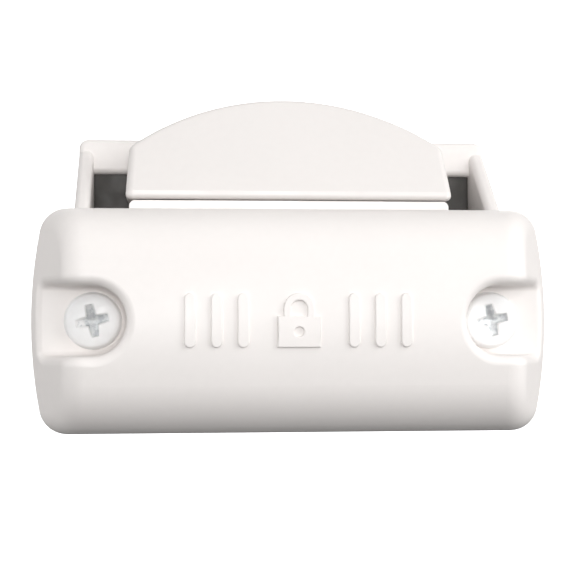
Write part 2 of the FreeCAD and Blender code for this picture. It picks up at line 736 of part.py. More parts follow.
# ---------------------------------------------------------------- screws and nuts
def cover_screw(name, side):
    """Pan head machine screw with a cross recess, slightly turned."""
    crown = recess_floor + screw_head_height
    tip = plate_thickness / 4
    edge = screw_head_radius
    points = [
        (0, tip),
        (0, crown),
        (edge * 0.5, crown - screw_head_height * 0.03),
        (edge * 0.8, crown - screw_head_height * 0.12),
        (edge * 0.93, crown - screw_head_height * 0.25),
        (edge, crown - screw_head_height * 0.5),
        (edge, recess_floor),
        (screw_radius, recess_floor),
        (screw_radius, tip + screw_radius / 2),
        (screw_radius / 2, tip),
    ]
    solid = turned(name + "Solid", 0, (0, 0), points)
    reach_x = cross_length / 2
    half = cross_width / 2
    deep = (crown - cross_depth, crown + overcut)
    arms = fuse(
        name + "Cross",
        block(name + "ArmX", (-reach_x, reach_x), deep, (-half, half)),
        block(name + "ArmZ", (-half, half), deep, (-reach_x, reach_x)),
    )
    driven = cut(name, solid, arms)
    turn = FreeCAD.Rotation(FreeCAD.Vector(0, -1, 0), number_of(cross_turn))
    place(driven, side * screw_x, 0, 0, turn)
    return driven


def press_nut(name, side):
    """Clinched nut: a ring on the plate with a pilot inside it."""
    x = side * screw_x
    ring = spindle(name + "Ring", x, 0, (plate_thickness, plate_thickness + nut_height), nut_radius)
    pilot_radius = screw_radius + thread_gap + plate_thickness / 4
    pilot = spindle(name + "Pilot", x, 0, (plate_thickness / 4, plate_thickness), pilot_radius)
    span = (0, plate_thickness + nut_height + overcut)
    bore = spindle(name + "Bore", x, 0, span, screw_radius + thread_gap)
    return cut(name, fuse(name + "Blank", ring, pilot), bore)


def wall_plate():
    """Steel back plate, wide at the cover screws and narrower between the cheeks."""
    wide = half_width - housing_inset - housing_wall - plate_gap - bow_loss(half_height)
    narrow = cheek_inner + plate_lap
    low = 0 - (half_height - housing_inset - housing_wall - plate_gap)
    step = web_bottom - plate_gap
    high = cheek_top - plate_top_cover
    points = [
        (-wide, low), (wide, low), (wide, step), (narrow, step),
        (narrow, high), (-narrow, high), (-narrow, step), (-wide, step),
    ]
    plate = prism("PlateBlank", "XZ_Plane", (0, plate_thickness), points)
    tools = []
    for side in (-1, 1):
        pilot_radius = screw_radius + thread_gap + plate_thickness / 4
        span = (0 - overcut, plate_thickness + overcut)
        tools.append(spindle(f"NutSeat{side + 1}", side * screw_x, 0, span, pilot_radius))
        for level in (-1, 1):
            x = side * wall_hole_span_x / 2
            z = level * wall_hole_span_z / 2
            tag = f"{side + 1}{level + 1}"
            tools.append(spindle("WallHole" + tag, x, z, span, wall_hole_radius))
            sunk = (plate_thickness - countersink_depth, plate_thickness)
            wide_radius = wall_hole_radius + countersink_depth
            tools.append(spindle("WallSink" + tag, x, z, sunk, wall_hole_radius, wide_radius))
    return node("wall_plate", cut("WallPlate", plate, *tools))


# ---------------------------------------------------------------- back housing
def tray_outline(name, inset, span, corner=None):
    """A prism with the cover's bowed outline, set in by a distance."""
    points, bulges = bowed_points(half_width - inset, half_height - inset)
    tray = prism(name, "XZ_Plane", span, points, bulges)
    if corner is None:
        return tray
    return rounded(name + "Round", tray, (corner, along_depth))


def cheeks():
    """Both cheeks and the top bar between them."""
    slope_foot = rim - cheek_foot_back
    slope_start = half_height - cheek_foot_drop
    slope_end = cheek_top - cheek_brow
    outside = (0 - cheek_outer, cheek_outer)
    inside = (0 - cheek_inner, cheek_inner)
    points = [
        (0, web_bottom),
        (0, cheek_top),
        (top_bar_depth, cheek_top),
        (top_bar_depth, slope_end),
        (slope_foot, slope_start),
        (slope_foot, web_bottom),
    ]
    blank = side_prism("CheekBlank", outside, points)
    gap = block("CheekGap", inside, (top_bar_depth, rim), (web_bottom - overcut, cheek_top + overcut))
    window = block("CheekWindow", inside, (0 - overcut, rim), (web_bottom - overcut, top_bar_bottom))
    sharp = cut("CheekSharp", blank, gap, window)

    def top_corner(edge):
        x, _, z = reach(edge)
        outer = abs(abs(x[0]) - number_of(cheek_outer)) < 0.01
        return along_depth(edge) and outer and at(z, cheek_top)

    first = rounded("CheekCorner", sharp, (cheek_corner, top_corner))

    def rim_edge(edge):
        x, depth, z = reach(edge)
        sloping = x[1] - x[0] < 0.01 and depth[1] - depth[0] > 1 and z[1] - z[0] > 1
        outer_rim = z[0] > number_of(slope_end) - 0.01 and not at(z, slope_end)
        bar_front = at(depth, top_bar_depth) and (outer_rim or at(z, top_bar_bottom))
        return sloping or bar_front

    return rounded("CheekSoft", first, (cheek_round, rim_edge))


def back_housing():
    outer = tray_outline("TrayOuter", housing_inset, (0, rim), housing_round)
    inset = housing_inset + housing_wall
    inner = tray_outline("TrayInner", inset, (0 - overcut, bulkhead_back))
    mouth = (0 - cheek_inner, cheek_inner)
    opening = block("TrayMouth", mouth, (0 - overcut, bulkhead_back), (web_bottom, half_height))
    tray = cut("Tray", outer, inner, opening)
    lip_inset = cover_wall + register_gap
    lip_outer = tray_outline("LipOuter", lip_inset, (bulkhead_back, rim + register_height))
    lip_inner = tray_outline("LipInner", lip_inset + register_wall, (rim, rim + register_height * 2))
    notch = recess_radius + cover_wall + plate_gap
    across = (0 - half_width, half_width)
    lip_gap = block("LipGap", across, (rim, rim + register_height * 2), (0 - notch, notch))
    pieces = [tray, cut("Lip", lip_outer, lip_inner, lip_gap), cheeks()]
    holes = []
    for side in (-1, 1):
        tag = "LR"[side > 0]
        x = side * screw_x
        boss_foot = plate_thickness + nut_height + plate_gap
        pieces.append(spindle("Boss" + tag, x, 0, (boss_foot, bulkhead_back), boss_radius))
        throat = sorted((side * cheek_inner, side * throat_inner), key=number_of)
        web = (plate_thickness + plate_gap, bulkhead_back)
        pieces.append(block("Web" + tag, throat, web, (web_bottom, throat_floor)))
        keeper_far = frame_half - flange_wall - pocket_gap
        keeper = sorted((side * keeper_far, side * (keeper_far - keeper_width)), key=number_of)
        keeper_top = neck_bottom - button_travel - pocket_gap
        lift = (bolt_front + keeper_gap, bulkhead_back)
        pieces.append(block("Keeper" + tag, keeper, lift, (keeper_top - keeper_height, keeper_top)))
        span = (0 - overcut, rim + register_height)
        holes.append(spindle("ScrewHole" + tag, x, 0, span, screw_radius + screw_clearance))
        nut_room = (0 - overcut, boss_foot)
        holes.append(spindle("NutRoom" + tag, x, 0, nut_room, nut_radius + plate_gap))
        for index, z in enumerate(frame_screw_zs):
            post = (frame_front, bulkhead_back)
            x = side * frame_screw_x
            pieces.append(spindle(f"Post{tag}{index}", x, z, post, frame_boss_radius))
            pilot = (frame_front - overcut, frame_screw_end + thread_gap)
            holes.append(spindle(f"Pilot{tag}{index}", x, z, pilot, frame_screw_radius + thread_gap))
    rebate_x = cheek_inner + plate_lap + plate_gap
    rebate_z = (web_bottom - overcut, cheek_top - plate_top_cover + plate_gap)
    depth = (0 - overcut, plate_thickness + plate_gap)
    holes.append(block("Rebate", (0 - rebate_x, rebate_x), depth, rebate_z))
    return node("back_housing", cut("BackHousing", fuse("HousingBlank", *pieces), *holes))


# ---------------------------------------------------------------- mechanism frame
def mechanism_frame():
    """Carrier of the bolts and springs, screwed to the housing from behind."""
    half = frame_half
    body = block("CarrierBlank", (0 - half, half), (frame_back, frame_front), (frame_bottom, frame_top))
    flange_tip = bulkhead_back - flange_gap
    pieces = [body]
    tools = []
    for side in (-1, 1):
        tag = "LR"[side > 0]

        def across(near, far):
            return sorted((side * near, side * far), key=number_of)

        flange = across(half - flange_wall, half)
        pieces.append(block("Flange" + tag, flange, (frame_back, flange_tip), (frame_bottom, frame_top)))
        pocket = across(foot_left - pocket_gap, foot_right + pocket_gap)
        shelf = (frame_back, spring_depth + spring_radius)
        pieces.append(block("Shelf" + tag, pocket, shelf, (frame_bottom, spring_bottom)))
        post_span = (spring_bottom - overcut / 2, spring_bottom + seat_post_height)
        pieces.append(upright("SeatPost" + tag, side * spring_x, spring_depth, post_span, post_radius))
        open_front = (pocket_back, frame_front + overcut)
        tools.append(block("Pocket" + tag, pocket, open_front, (spring_bottom, pocket_top)))
        relief = (frame_back - overcut, rim)
        relief_radius = boss_radius + frame_side_gap
        tools.append(spindle("BossRelief" + tag, side * screw_x, 0, relief, relief_radius))
        channel = across(bolt_inner - bolt_travel - bolt_gap - overcut / 2, half + overcut)
        sides = (bolt_bottom - bolt_gap, bolt_top + bolt_gap)
        open_channel = (bolt_back - bolt_gap, flange_tip + overcut)
        tools.append(block("Channel" + tag, channel, open_channel, sides))
        for index, z in enumerate(frame_screw_zs):
            x = side * frame_screw_x
            sunk = (frame_back - overcut, frame_head_front)
            tools.append(spindle(f"Sunk{tag}{index}", x, z, sunk, frame_head_radius + pin_slot_gap))
            through = (frame_back, frame_front + overcut)
            tools.append(spindle(f"Through{tag}{index}", x, z, through, frame_screw_radius + thread_gap))
    window = foot_left - pocket_gap - frame_back_wall
    middle = (spring_bottom, bolt_bottom - frame_back_wall)
    tools.append(block("CarrierWindow", (0 - window, window), (frame_back - overcut, rim), middle))
    posts = [piece for piece in pieces if piece.Name.startswith("SeatPost")]
    bulk = [piece for piece in pieces if piece not in posts]
    carved = cut("CarrierCarved", fuse("CarrierBulk", *bulk), *tools)
    return node("mechanism_frame", fuse("MechanismFrame", carved, *posts))


def frame_screws():
    screws = []
    for side in (-1, 1):
        for index, z in enumerate(frame_screw_zs):
            x = side * frame_screw_x
            tag = f"{'LR'[side > 0]}{index}"
            head_back = frame_head_front - frame_head_height + thread_gap
            head = spindle("ScrewHead" + tag, x, z, (head_back, frame_head_front), frame_head_radius)
            shank = spindle("Shank" + tag, x, z, (frame_head_front, frame_screw_end), frame_screw_radius)
            socket = (head_back - overcut, head_back + frame_head_height / 2)
            drive = block("Drive" + tag, (x - cross_width, x + cross_width), socket,
                          (z - cross_width / 2, z + cross_width / 2))
            screws.append(cut("FrameScrew" + tag, fuse("FrameScrewBlank" + tag, head, shank), drive))
    return node("frame_screws", group("FrameScrews", *screws))


# ---------------------------------------------------------------- thumb cap and slider
def thumb_cap():
    """Arched tab with a sloping face and an upright band along its lip."""
    lip_half = cap_lip_width / 2
    corner_half = cap_corner_width / 2
    corner_z = lip_bottom + cap_corner_rise
    apex_z = corner_z + cap_arch
    arch_radius = (corner_half * corner_half + cap_arch * cap_arch) / (cap_arch * 2)
    face = [
        (0 - lip_half, lip_bottom),
        (lip_half, lip_bottom),
        (corner_half, corner_z),
        (0 - corner_half, corner_z),
    ]
    front_view = prism("CapFront", "XZ_Plane", (cap_back, cap_front), face, {2: arch_radius})
    band_top = lip_bottom + cap_lip_height
    apex_front = cap_front - (apex_z - band_top) * tangent_of(cap_slope)
    side = [
        (cap_back, lip_bottom),
        (cap_back, apex_z),
        (apex_front, apex_z),
        (cap_front, band_top),
        (cap_front, lip_bottom),
    ]
    side_view = side_prism("CapSide", (0 - lip_half - overcut, lip_half + overcut), side)
    sharp = common("CapSharp", front_view, side_view)

    def corner(edge):
        return along_depth(edge) and abs(reach(edge)[2][0] - number_of(corner_z)) < 0.5

    soft = rounded("CapCorners", sharp, (cap_corner_round, corner))

    def face_edge(edge):
        x, depth, z = reach(edge)
        crease = at(z, band_top) and at(depth, cap_front)
        bottom_front = at(z, lip_bottom) and at(depth, cap_front)
        side_band = z[0] > number_of(lip_bottom) - 0.01 and depth[0] > number_of(apex_front) - 0.01
        return side_band and not along_depth(edge) and not crease and not bottom_front

    def lip_edge(edge):
        return at(reach(edge)[2], lip_bottom) and at(reach(edge)[1], cap_front)

    face_soft = rounded("CapSoft", soft, (cap_round, face_edge))
    finished = rounded("CapLip", face_soft, (cap_lip_height * 0.6, lip_edge))
    half = tongue_width / 2 + tongue_gap
    back = tongue_back - tongue_gap
    below = lip_bottom - overcut
    tools = [
        block("TongueRoot", (0 - half, half), (back, tongue_root_front + tongue_gap),
              (below, tongue_root_top + tongue_gap)),
        block("TongueSlot", (0 - half, half), (back, tongue_front + tongue_gap),
              (below, tongue_top + tongue_gap)),
    ]
    for side_sign in (-1, 1):
        tag = "LR"[side_sign > 0]
        near = side_sign * (half + cap_core_wall)
        far = side_sign * (corner_half - cap_core_wall)
        core = sorted((near, far), key=number_of)
        core_depth = (back, cap_front - cap_core_wall - cap_core_height * tangent_of(cap_slope))
        tools.append(block("Core" + tag, core, core_depth, (below, lip_bottom + cap_core_height)))
        x = side_sign * cap_screw_spacing / 2
        sink = (cap_back, cap_back + cap_screw_head - cap_screw_radius)
        tools.append(spindle("CapSink" + tag, x, cap_screw_z, sink,
                             cap_screw_head + thread_gap, cap_screw_radius + thread_gap))
        hole = (cap_back - overcut, tongue_back)
        tools.append(spindle("CapHole" + tag, x, cap_screw_z, hole, cap_screw_radius + thread_gap))
    return node("thumb_cap", cut("ThumbCap", finished, *tools))


def cap_screws():
    screws = []
    for side in (-1, 1):
        tag = "LR"[side > 0]
        x = side * cap_screw_spacing / 2
        neck = cap_back + cap_screw_head - cap_screw_radius
        head = spindle("CapHead" + tag, x, cap_screw_z, (cap_back, neck), cap_screw_head, cap_screw_radius)
        shank_span = (neck, tongue_front - tongue_gap)
        shank = spindle("CapShank" + tag, x, cap_screw_z, shank_span, cap_screw_radius)
        screws.append(fuse("CapScrew" + tag, head, shank))
    return node("cap_screws", group("CapScrews", *screws))


def slot_tool(name):
    """The inclined slot of the right drive pin: it draws the bolt in as the slider goes down."""
    run = bolt_travel
    rise = button_travel
    length = root_of(run * run + rise * rise)
    radius = pin_radius + pin_slot_gap
    shift_x = radius * rise / length
    shift_z = radius * run / length
    low = (pin_x, bolt_z)
    high = (pin_x - run, bolt_z + rise)
    span = (slider_back - overcut, slider_front + overcut)
    points = [
        (low[0] - shift_x, low[1] - shift_z),
        (low[0] + shift_x, low[1] + shift_z),
        (high[0] + shift_x, high[1] + shift_z),
        (high[0] - shift_x, high[1] - shift_z),
    ]
    middle = prism(name + "Middle", "XZ_Plane", span, points)
    bottom = spindle(name + "Low", low[0], low[1], span, radius)
    top = spindle(name + "High", high[0], high[1], span, radius)
    return fuse(name, middle, bottom, top)


def button_slider():
    """Cam plate: stem with slots, neck, tongue into the cap, feet on the springs."""
    span = (slider_back, slider_front)
    neck = neck_width / 2

    def neck_corner(edge):
        return along_depth(edge) and at(reach(edge)[2], neck_top)

    tongue = tongue_width / 2
    pieces = [
        block("Stem", (0 - stem_half, stem_half), span, (foot_bottom, neck_top)),
        rounded("Neck", block("NeckBlock", (0 - neck, neck), span, (neck_bottom, neck_top)),
                (neck_round, neck_corner)),
        block("Root", (0 - tongue, tongue), (tongue_back, tongue_root_front), (neck_top, tongue_root_top)),
        block("Tongue", (0 - tongue, tongue), (tongue_back, tongue_front), (neck_top, tongue_top)),
    ]
    slot = slot_tool("Slot")
    holes = [slot, mirrored("SlotTwin", slot)]
    for side in (-1, 1):
        tag = "LR"[side > 0]
        foot = sorted((side * foot_left, side * foot_right), key=number_of)
        pieces.append(block("Foot" + tag, foot, (foot_back, slider_front), (foot_bottom, foot_top)))
        post = (foot_bottom - seat_post_height, foot_bottom + foot_height / 2)
        pieces.append(upright("FootPost" + tag, side * spring_x, spring_depth, post, post_radius))
        x = side * cap_screw_spacing / 2
        pilot = (tongue_back - overcut, tongue_front + overcut)
        holes.append(spindle("TonguePilot" + tag, x, cap_screw_z, pilot, cap_screw_radius + thread_gap))
    return node("button_slider", cut("ButtonSlider", fuse("SliderBlank", *pieces), *holes))


# ---------------------------------------------------------------- bolts, pins, springs, pads
def bolt():
    """The right bolt, with a slanted nose that a striker pushes aside from above."""
    points = [
        (bolt_inner, bolt_bottom),
        (bolt_tip, bolt_bottom),
        (bolt_tip, bolt_top - bolt_lead),
        (bolt_tip - bolt_lead, bolt_top),
        (bolt_inner, bolt_top),
    ]
    bar = prism("BoltBar", "XZ_Plane", (bolt_back, bolt_front), points)
    span = (bolt_back - overcut, bolt_front + overcut)
    return cut("BoltRight", bar, spindle("BoltHole", pin_x, bolt_z, span, pin_radius + pin_fit))


def drive_pin():
    """The right drive pin, with a groove for its snap ring."""
    groove = slider_front + clip_gap
    slim = pin_radius - clip_groove
    points = [
        (0, bolt_back + pin_fit),
        (0, pin_end),
        (pin_radius, pin_end),
        (pin_radius, groove + clip_thickness + pin_fit),
        (slim, groove + clip_thickness + pin_fit),
        (slim, groove - pin_fit),
        (pin_radius, groove - pin_fit),
        (pin_radius, bolt_back + pin_fit),
    ]
    return turned("DrivePinRight", 0, (pin_x, bolt_z), points)


def pin_clip():
    """The right snap ring, open at the bottom."""
    groove = slider_front + clip_gap
    span = (groove, groove + clip_thickness)
    ring = spindle("ClipRing", pin_x, bolt_z, span, clip_radius)
    deep = (groove - overcut, groove + overcut)
    hole = spindle("ClipHole", pin_x, bolt_z, deep, pin_radius - clip_groove + pin_fit)
    mouth = (pin_x - clip_mouth / 2, pin_x + clip_mouth / 2)
    gap = block("ClipGap", mouth, deep, (bolt_z - clip_radius - overcut, bolt_z))
    return cut("PinClipRight", ring, hole, gap)


def return_spring():
    """The right return spring: round wire wound about Z."""
    body = document.addObject("PartDesign::Body", "ReturnSpringRight")
    sketch = new_sketch(body, "SpringWire", "XZ_Plane", 0)
    coil = spring_radius - spring_wire / 2
    circle = Part.Circle(FreeCAD.Vector(number_of(coil), 0, 0), FreeCAD.Vector(0, 0, 1),
                         number_of(spring_wire) / 2)
    sketch.addGeometry(circle, False)
    pin_point(sketch, 0, 3, coil, spring_wire / 2)
    index = sketch.addConstraint(Sketcher.Constraint("Radius", 0, number_of(spring_wire) / 2))
    bind(sketch, f"Constraints[{index}]", spring_wire / 2)
    helix = body.newObject("PartDesign::AdditiveHelix", "SpringCoil")
    helix.Profile = sketch
    helix.ReferenceAxis = (sketch, ["V_Axis"])
    helix.Mode = "pitch-height-angle"
    bind(helix, "Pitch", spring_pitch)
    bind(helix, "Height", spring_length - spring_wire)
    place(body, spring_x, 0 - spring_depth, spring_bottom)
    return body


def stop_buffers():
    pads = []
    for side in (-1, 1):
        x = sorted((side * foot_left, side * foot_right), key=number_of)
        depth = (pocket_back + pocket_gap / 2, frame_front)
        pads.append(block(f"Buffer{side + 1}", x, depth, (buffer_bottom, pocket_top)))
    return node("stop_buffers", group("StopBuffers", *pads))


def striker_pad():
    """The right rubber pad at the bottom of a throat."""
    x = (throat_inner + pad_gap / 2, cheek_inner - pad_gap)
    depth = (top_bar_depth, bulkhead_back - pad_gap)
    pad = block("PadBlank", x, depth, (throat_floor, throat_floor + pad_thickness))

    def top_edge(edge):
        return at(reach(edge)[2], throat_floor + pad_thickness)

    return rounded("StrikerPadRight", pad, (pad_round, top_edge))


front_cover()
back_housing()
wall_plate()
mechanism_frame()
frame_screws()
thumb_cap()
button_slider()
cap_screws()
stop_buffers()
node("cover_screws", group("CoverScrews", cover_screw("ScrewL", -1), cover_screw("ScrewR", 1)))
node("press_nuts", group("PressNuts", press_nut("NutL", -1), press_nut("NutR", 1)))
pairs = {
    "bolt": bolt(),
    "drive_pin": drive_pin(),
    "pin_clip": pin_clip(),
    "return_spring": return_spring(),
    "striker_pad": striker_pad(),
}
for stem, piece in pairs.items():
    node(stem + "_right", piece)
    node(stem + "_left", mirrored(piece.Name.replace("Right", "Left"), piece))

# ---------------------------------------------------------------- check and write
document.recompute()
for thing in document.Objects:
    if "Invalid" in thing.State or "Error" in thing.State:
        raise RuntimeError(f"{thing.Name} failed: {thing.State}")
for name, thing in nodes.items():
    if thing.Shape.isNull() or not thing.Shape.isValid() or not thing.Shape.Solids:
        raise RuntimeError(f"{name} has no valid solid")

os.makedirs("parts", exist_ok=True)
for name, thing in nodes.items():
    thing.Shape.exportStep(os.path.join("parts", name + ".step"))
    solids = thing.Shape.Solids
    print(name, len(solids), "solids", round(sum(solid.Volume for solid in solids), 2), "mm3")
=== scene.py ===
"""Looks of the stair gate latch: materials, screws, springs, studio and camera around the CAD model."""

import json
import math

import bmesh
import bpy
from mathutils import Matrix, Vector


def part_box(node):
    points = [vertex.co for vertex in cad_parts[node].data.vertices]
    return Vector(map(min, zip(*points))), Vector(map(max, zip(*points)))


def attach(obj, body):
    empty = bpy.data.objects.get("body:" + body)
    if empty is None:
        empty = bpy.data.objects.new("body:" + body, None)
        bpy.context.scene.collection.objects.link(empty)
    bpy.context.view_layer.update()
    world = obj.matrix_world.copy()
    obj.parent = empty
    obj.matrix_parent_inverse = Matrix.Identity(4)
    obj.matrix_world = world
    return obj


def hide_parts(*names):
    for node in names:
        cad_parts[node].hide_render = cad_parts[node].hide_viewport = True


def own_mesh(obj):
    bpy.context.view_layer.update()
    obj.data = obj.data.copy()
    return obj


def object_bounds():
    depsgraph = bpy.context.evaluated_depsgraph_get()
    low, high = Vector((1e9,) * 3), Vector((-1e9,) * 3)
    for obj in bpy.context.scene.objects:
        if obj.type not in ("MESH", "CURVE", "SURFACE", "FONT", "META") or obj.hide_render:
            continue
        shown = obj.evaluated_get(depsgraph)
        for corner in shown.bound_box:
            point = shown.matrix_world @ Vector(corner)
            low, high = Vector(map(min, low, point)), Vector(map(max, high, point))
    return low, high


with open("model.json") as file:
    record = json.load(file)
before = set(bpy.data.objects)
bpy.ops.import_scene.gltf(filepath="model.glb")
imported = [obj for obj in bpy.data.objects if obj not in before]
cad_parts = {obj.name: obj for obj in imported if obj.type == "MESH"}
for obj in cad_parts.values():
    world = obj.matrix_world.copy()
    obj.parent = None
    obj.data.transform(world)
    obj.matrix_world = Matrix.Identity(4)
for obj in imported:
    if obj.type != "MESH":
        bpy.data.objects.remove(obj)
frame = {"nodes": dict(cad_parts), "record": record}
cad_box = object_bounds()

MM = 0.001
FULL_TURN = 2 * math.pi

# ---------------------------------------------------------------- sizes of the screws
HEAD_RADIUS = 4.35 * MM
HEAD_HEIGHT = 2.6 * MM
SHANK_RADIUS = 2.0 * MM
SCREW_SIDES = 144

# The crown falls by these shares of the head's height: all over, and near its rim.
CROWN_FALL = 0.13
SHOULDER_FALL = 0.37
SHOULDER_POWER = 22
CROWN_RINGS = 60

# The rim goes on from the crown's edge to the full radius.
CROWN_SPAN = 0.985
RIM_FALL = 0.14
RIM_RINGS = 6

THREAD_DEPTH = 0.25 * MM
THREAD_PITCH = 0.7 * MM
RINGS_PER_PITCH = 8
TIP_TAPER = 0.4 * MM
TIP_LENGTH = 0.6 * MM

# The cross recess, its arms narrower and shallower towards their ends.
CROSS_REACH = 2.45 * MM
CROSS_HALF_WIDTH = 0.76 * MM
CROSS_NARROWING = 0.3
CROSS_CORNER = 0.45 * MM
CROSS_BRINK = (-0.22 * MM, 0.26 * MM)
CROSS_DEPTH = 1.1 * MM
CROSS_RISE = 0.75
CROSS_END_DEPTH = 0.2
CROSS_TURN = math.radians(12)

# Paint has stayed on one arm: how much of it, and from where to where it begins.
ARM_PAINT = 0.55
ARM_PAINT_FROM = (0.5 * MM, 1.2 * MM)

# ---------------------------------------------------------------- sizes of the springs
SPRING_WIRE = 0.7 * MM
SPRING_TURNS = 7.0
SPRING_END_TURNS = 1.0
SPRING_STEPS_PER_TURN = 40
WIRE_SIDES = 12

# ---------------------------------------------------------------- edges, lights and camera
EDGE_ROUNDING = 0.12 * MM
BEVEL_SAMPLES = 4
WARM_WHITE = (1.045, 1.0, 0.972)

SOFTBOX = {"azimuth": 45, "elevation": 20, "distance": 0.35, "size": 0.3, "power": 0.46}
FILLS = (
    # azimuth, elevation, spread and strength
    (-80, 5, 50, 0.72),
    (-40, 20, 50, 0.42),
    (0, 3, 12, 1.02),
    (60, 30, 50, 0.5),
    (75, 8, 50, 0.92),
    (180, 15, 50, 0.9),
)
# Height on the sky from 0 at the bottom to 1 at the top, and how bright it is there.
SKY_STOPS = ((0.0, 0.12), (0.42, 0.19), (0.6, 0.33), (1.0, 0.38))

FLOOR_DROP = 0.25
BACKDROP_RADIUS = 3.0
BACKDROP_FLAT = 0.7
BACKDROP_RINGS = 24
BACKDROP_SIDES = 64
BACKDROP_GLOW = 0.9

CAMERA_PLACE = Vector((-0.0196, -0.2304, -0.0007))
CAMERA_YAW = 5.19
CAMERA_PITCH = 1.46
CAMERA_ROLL = -0.12
CAMERA_LENS = 85.3
CAMERA_SENSOR = 36
CAMERA_CLIP_START = 0.01


# ---------------------------------------------------------------- material building
class Shader:
    """One material's node tree, with short calls to add and join nodes."""

    def __init__(self, name):
        self.material = bpy.data.materials.new(name)
        self.material.use_nodes = True
        self.tree = self.material.node_tree
        self.surface = self.tree.nodes["Principled BSDF"]
        self.place = self.add("ShaderNodeTexCoord").outputs["Object"]

    def put(self, socket, value):
        """Joins an output socket to the socket, or sets the socket to a constant."""
        if isinstance(value, bpy.types.NodeSocket):
            self.tree.links.new(value, socket)
        else:
            socket.default_value = value

    def add(self, kind, inputs=(), **settings):
        """A new node; inputs is {socket name or number: constant or output socket}."""
        node = self.tree.nodes.new(kind)
        for key, value in settings.items():
            setattr(node, key, value)
        for key, value in dict(inputs).items():
            self.put(node.inputs[key], value)
        return node

    def math(self, operation, a, b):
        """The result of a Math node on a and b."""
        return self.add("ShaderNodeMath", {0: a, 1: b}, operation=operation).outputs[0]

    def noise(self, scale, detail=2.0, roughness=0.5, place=None):
        """Noise from 0 to 1; scale is in repeats per metre."""
        inputs = {"Vector": place or self.place, "Scale": scale}
        inputs.update({"Detail": detail, "Roughness": roughness})
        return self.add("ShaderNodeTexNoise", inputs).outputs["Fac"]

    def stretched(self, x, y, z):
        """The piece's own place with each axis scaled, for lines and brushing."""
        node = self.add("ShaderNodeMapping", {"Vector": self.place, "Scale": (x, y, z)})
        return node.outputs["Vector"]

    def ramp(self, value, low, high, start=0.0, end=1.0):
        """value from low to high becomes start to end, smoothly and clamped."""
        inputs = {"Value": value, "From Min": low, "From Max": high, "To Min": start, "To Max": end}
        node = self.add("ShaderNodeMapRange", inputs, interpolation_type="SMOOTHSTEP")
        return node.outputs["Result"]

    def blend(self, factor, a, b):
        """Colour a where factor is 0, colour b where it is 1."""
        node = self.add("ShaderNodeMix", data_type="RGBA")
        names = {"Factor": factor, "A": a, "B": b}
        sockets = {s.name: s for s in node.inputs if s.enabled and s.name in names}
        for name, value in names.items():
            self.put(sockets[name], value)
        return next(s for s in node.outputs if s.enabled)

    def rounded(self, radius):
        """The surface's normal with its edges rounded to that radius."""
        return self.add("ShaderNodeBevel", {"Radius": radius}, samples=BEVEL_SAMPLES).outputs[0]

    def edges(self, radius):
        """1 on edges sharper than the radius, 0 on flat and gently curved surface."""
        soft = self.rounded(radius)
        true = self.add("ShaderNodeNewGeometry").outputs["Normal"]
        node = self.add("ShaderNodeVectorMath", {0: soft, 1: true}, operation="DOT_PRODUCT")
        return self.ramp(node.outputs["Value"], 0.99, 0.86)

    def bump(self, *layers):
        """Bumps from (height socket, depth in metres) layers, over softly rounded edges."""
        normal = self.rounded(EDGE_ROUNDING)
        for height, depth in layers:
            inputs = {"Height": height, "Distance": depth, "Strength": 1.0, "Normal": normal}
            normal = self.add("ShaderNodeBump", inputs).outputs["Normal"]
        return normal

    def finish(self, **inputs):
        """The finished material; inputs are its surface's sockets, with _ for spaces."""
        for key, value in inputs.items():
            self.put(self.surface.inputs[key.replace("_", " ")], value)
        return self.material


def tint(red, green, blue):
    """An opaque RGBA colour."""
    return (red, green, blue, 1)


def grey(value, warmth=0.0):
    """A grey of that brightness, warmer or cooler by a small share."""
    return tint(value * (1 + warmth), value, value * (1 - warmth))


def warm(value):
    """The white of the mouldings: a little pink in its shade."""
    return tint(*(value * share for share in WARM_WHITE))


def brighter(colour, factor):
    """The colour times the factor, at most white."""
    return tint(*(min(1.0, level * factor) for level in colour[:3]))


def moulded_plastic(name, colour, shade, roughness, grain):
    """Satin moulded plastic: faint flow mottling, spark-eroded grain, polished worn edges."""
    s = Shader(name)
    flow = s.noise(38, detail=3)
    speck = s.noise(850, detail=1)
    mottle = s.math("ADD", s.math("MULTIPLY", flow, 0.7), s.math("MULTIPLY", speck, 0.3))
    body = s.blend(s.ramp(mottle, 0.3, 0.7), colour, shade)
    worn = s.math("MULTIPLY", s.edges(0.5 * MM), s.ramp(s.noise(420, detail=3), 0.35, 0.7))
    skin = s.blend(worn, body, brighter(colour, 1.03))
    rough = s.ramp(s.noise(120, detail=4), 0.3, 0.7, roughness - 0.04, roughness + 0.05)
    rough = s.math("SUBTRACT", rough, s.math("MULTIPLY", worn, 0.1))
    wave = s.noise(75, detail=1)
    pits = s.noise(3100, detail=2, roughness=0.6)
    normal = s.bump((wave, 0.05 * MM), (pits, grain))
    return s.finish(Base_Color=skin, Roughness=rough, Normal=normal)


def white_plastic(name, value, shade, roughness):
    """White moulded plastic between two brightnesses, with a fine grain."""
    return moulded_plastic(name, warm(value), warm(shade), roughness, 0.006 * MM)


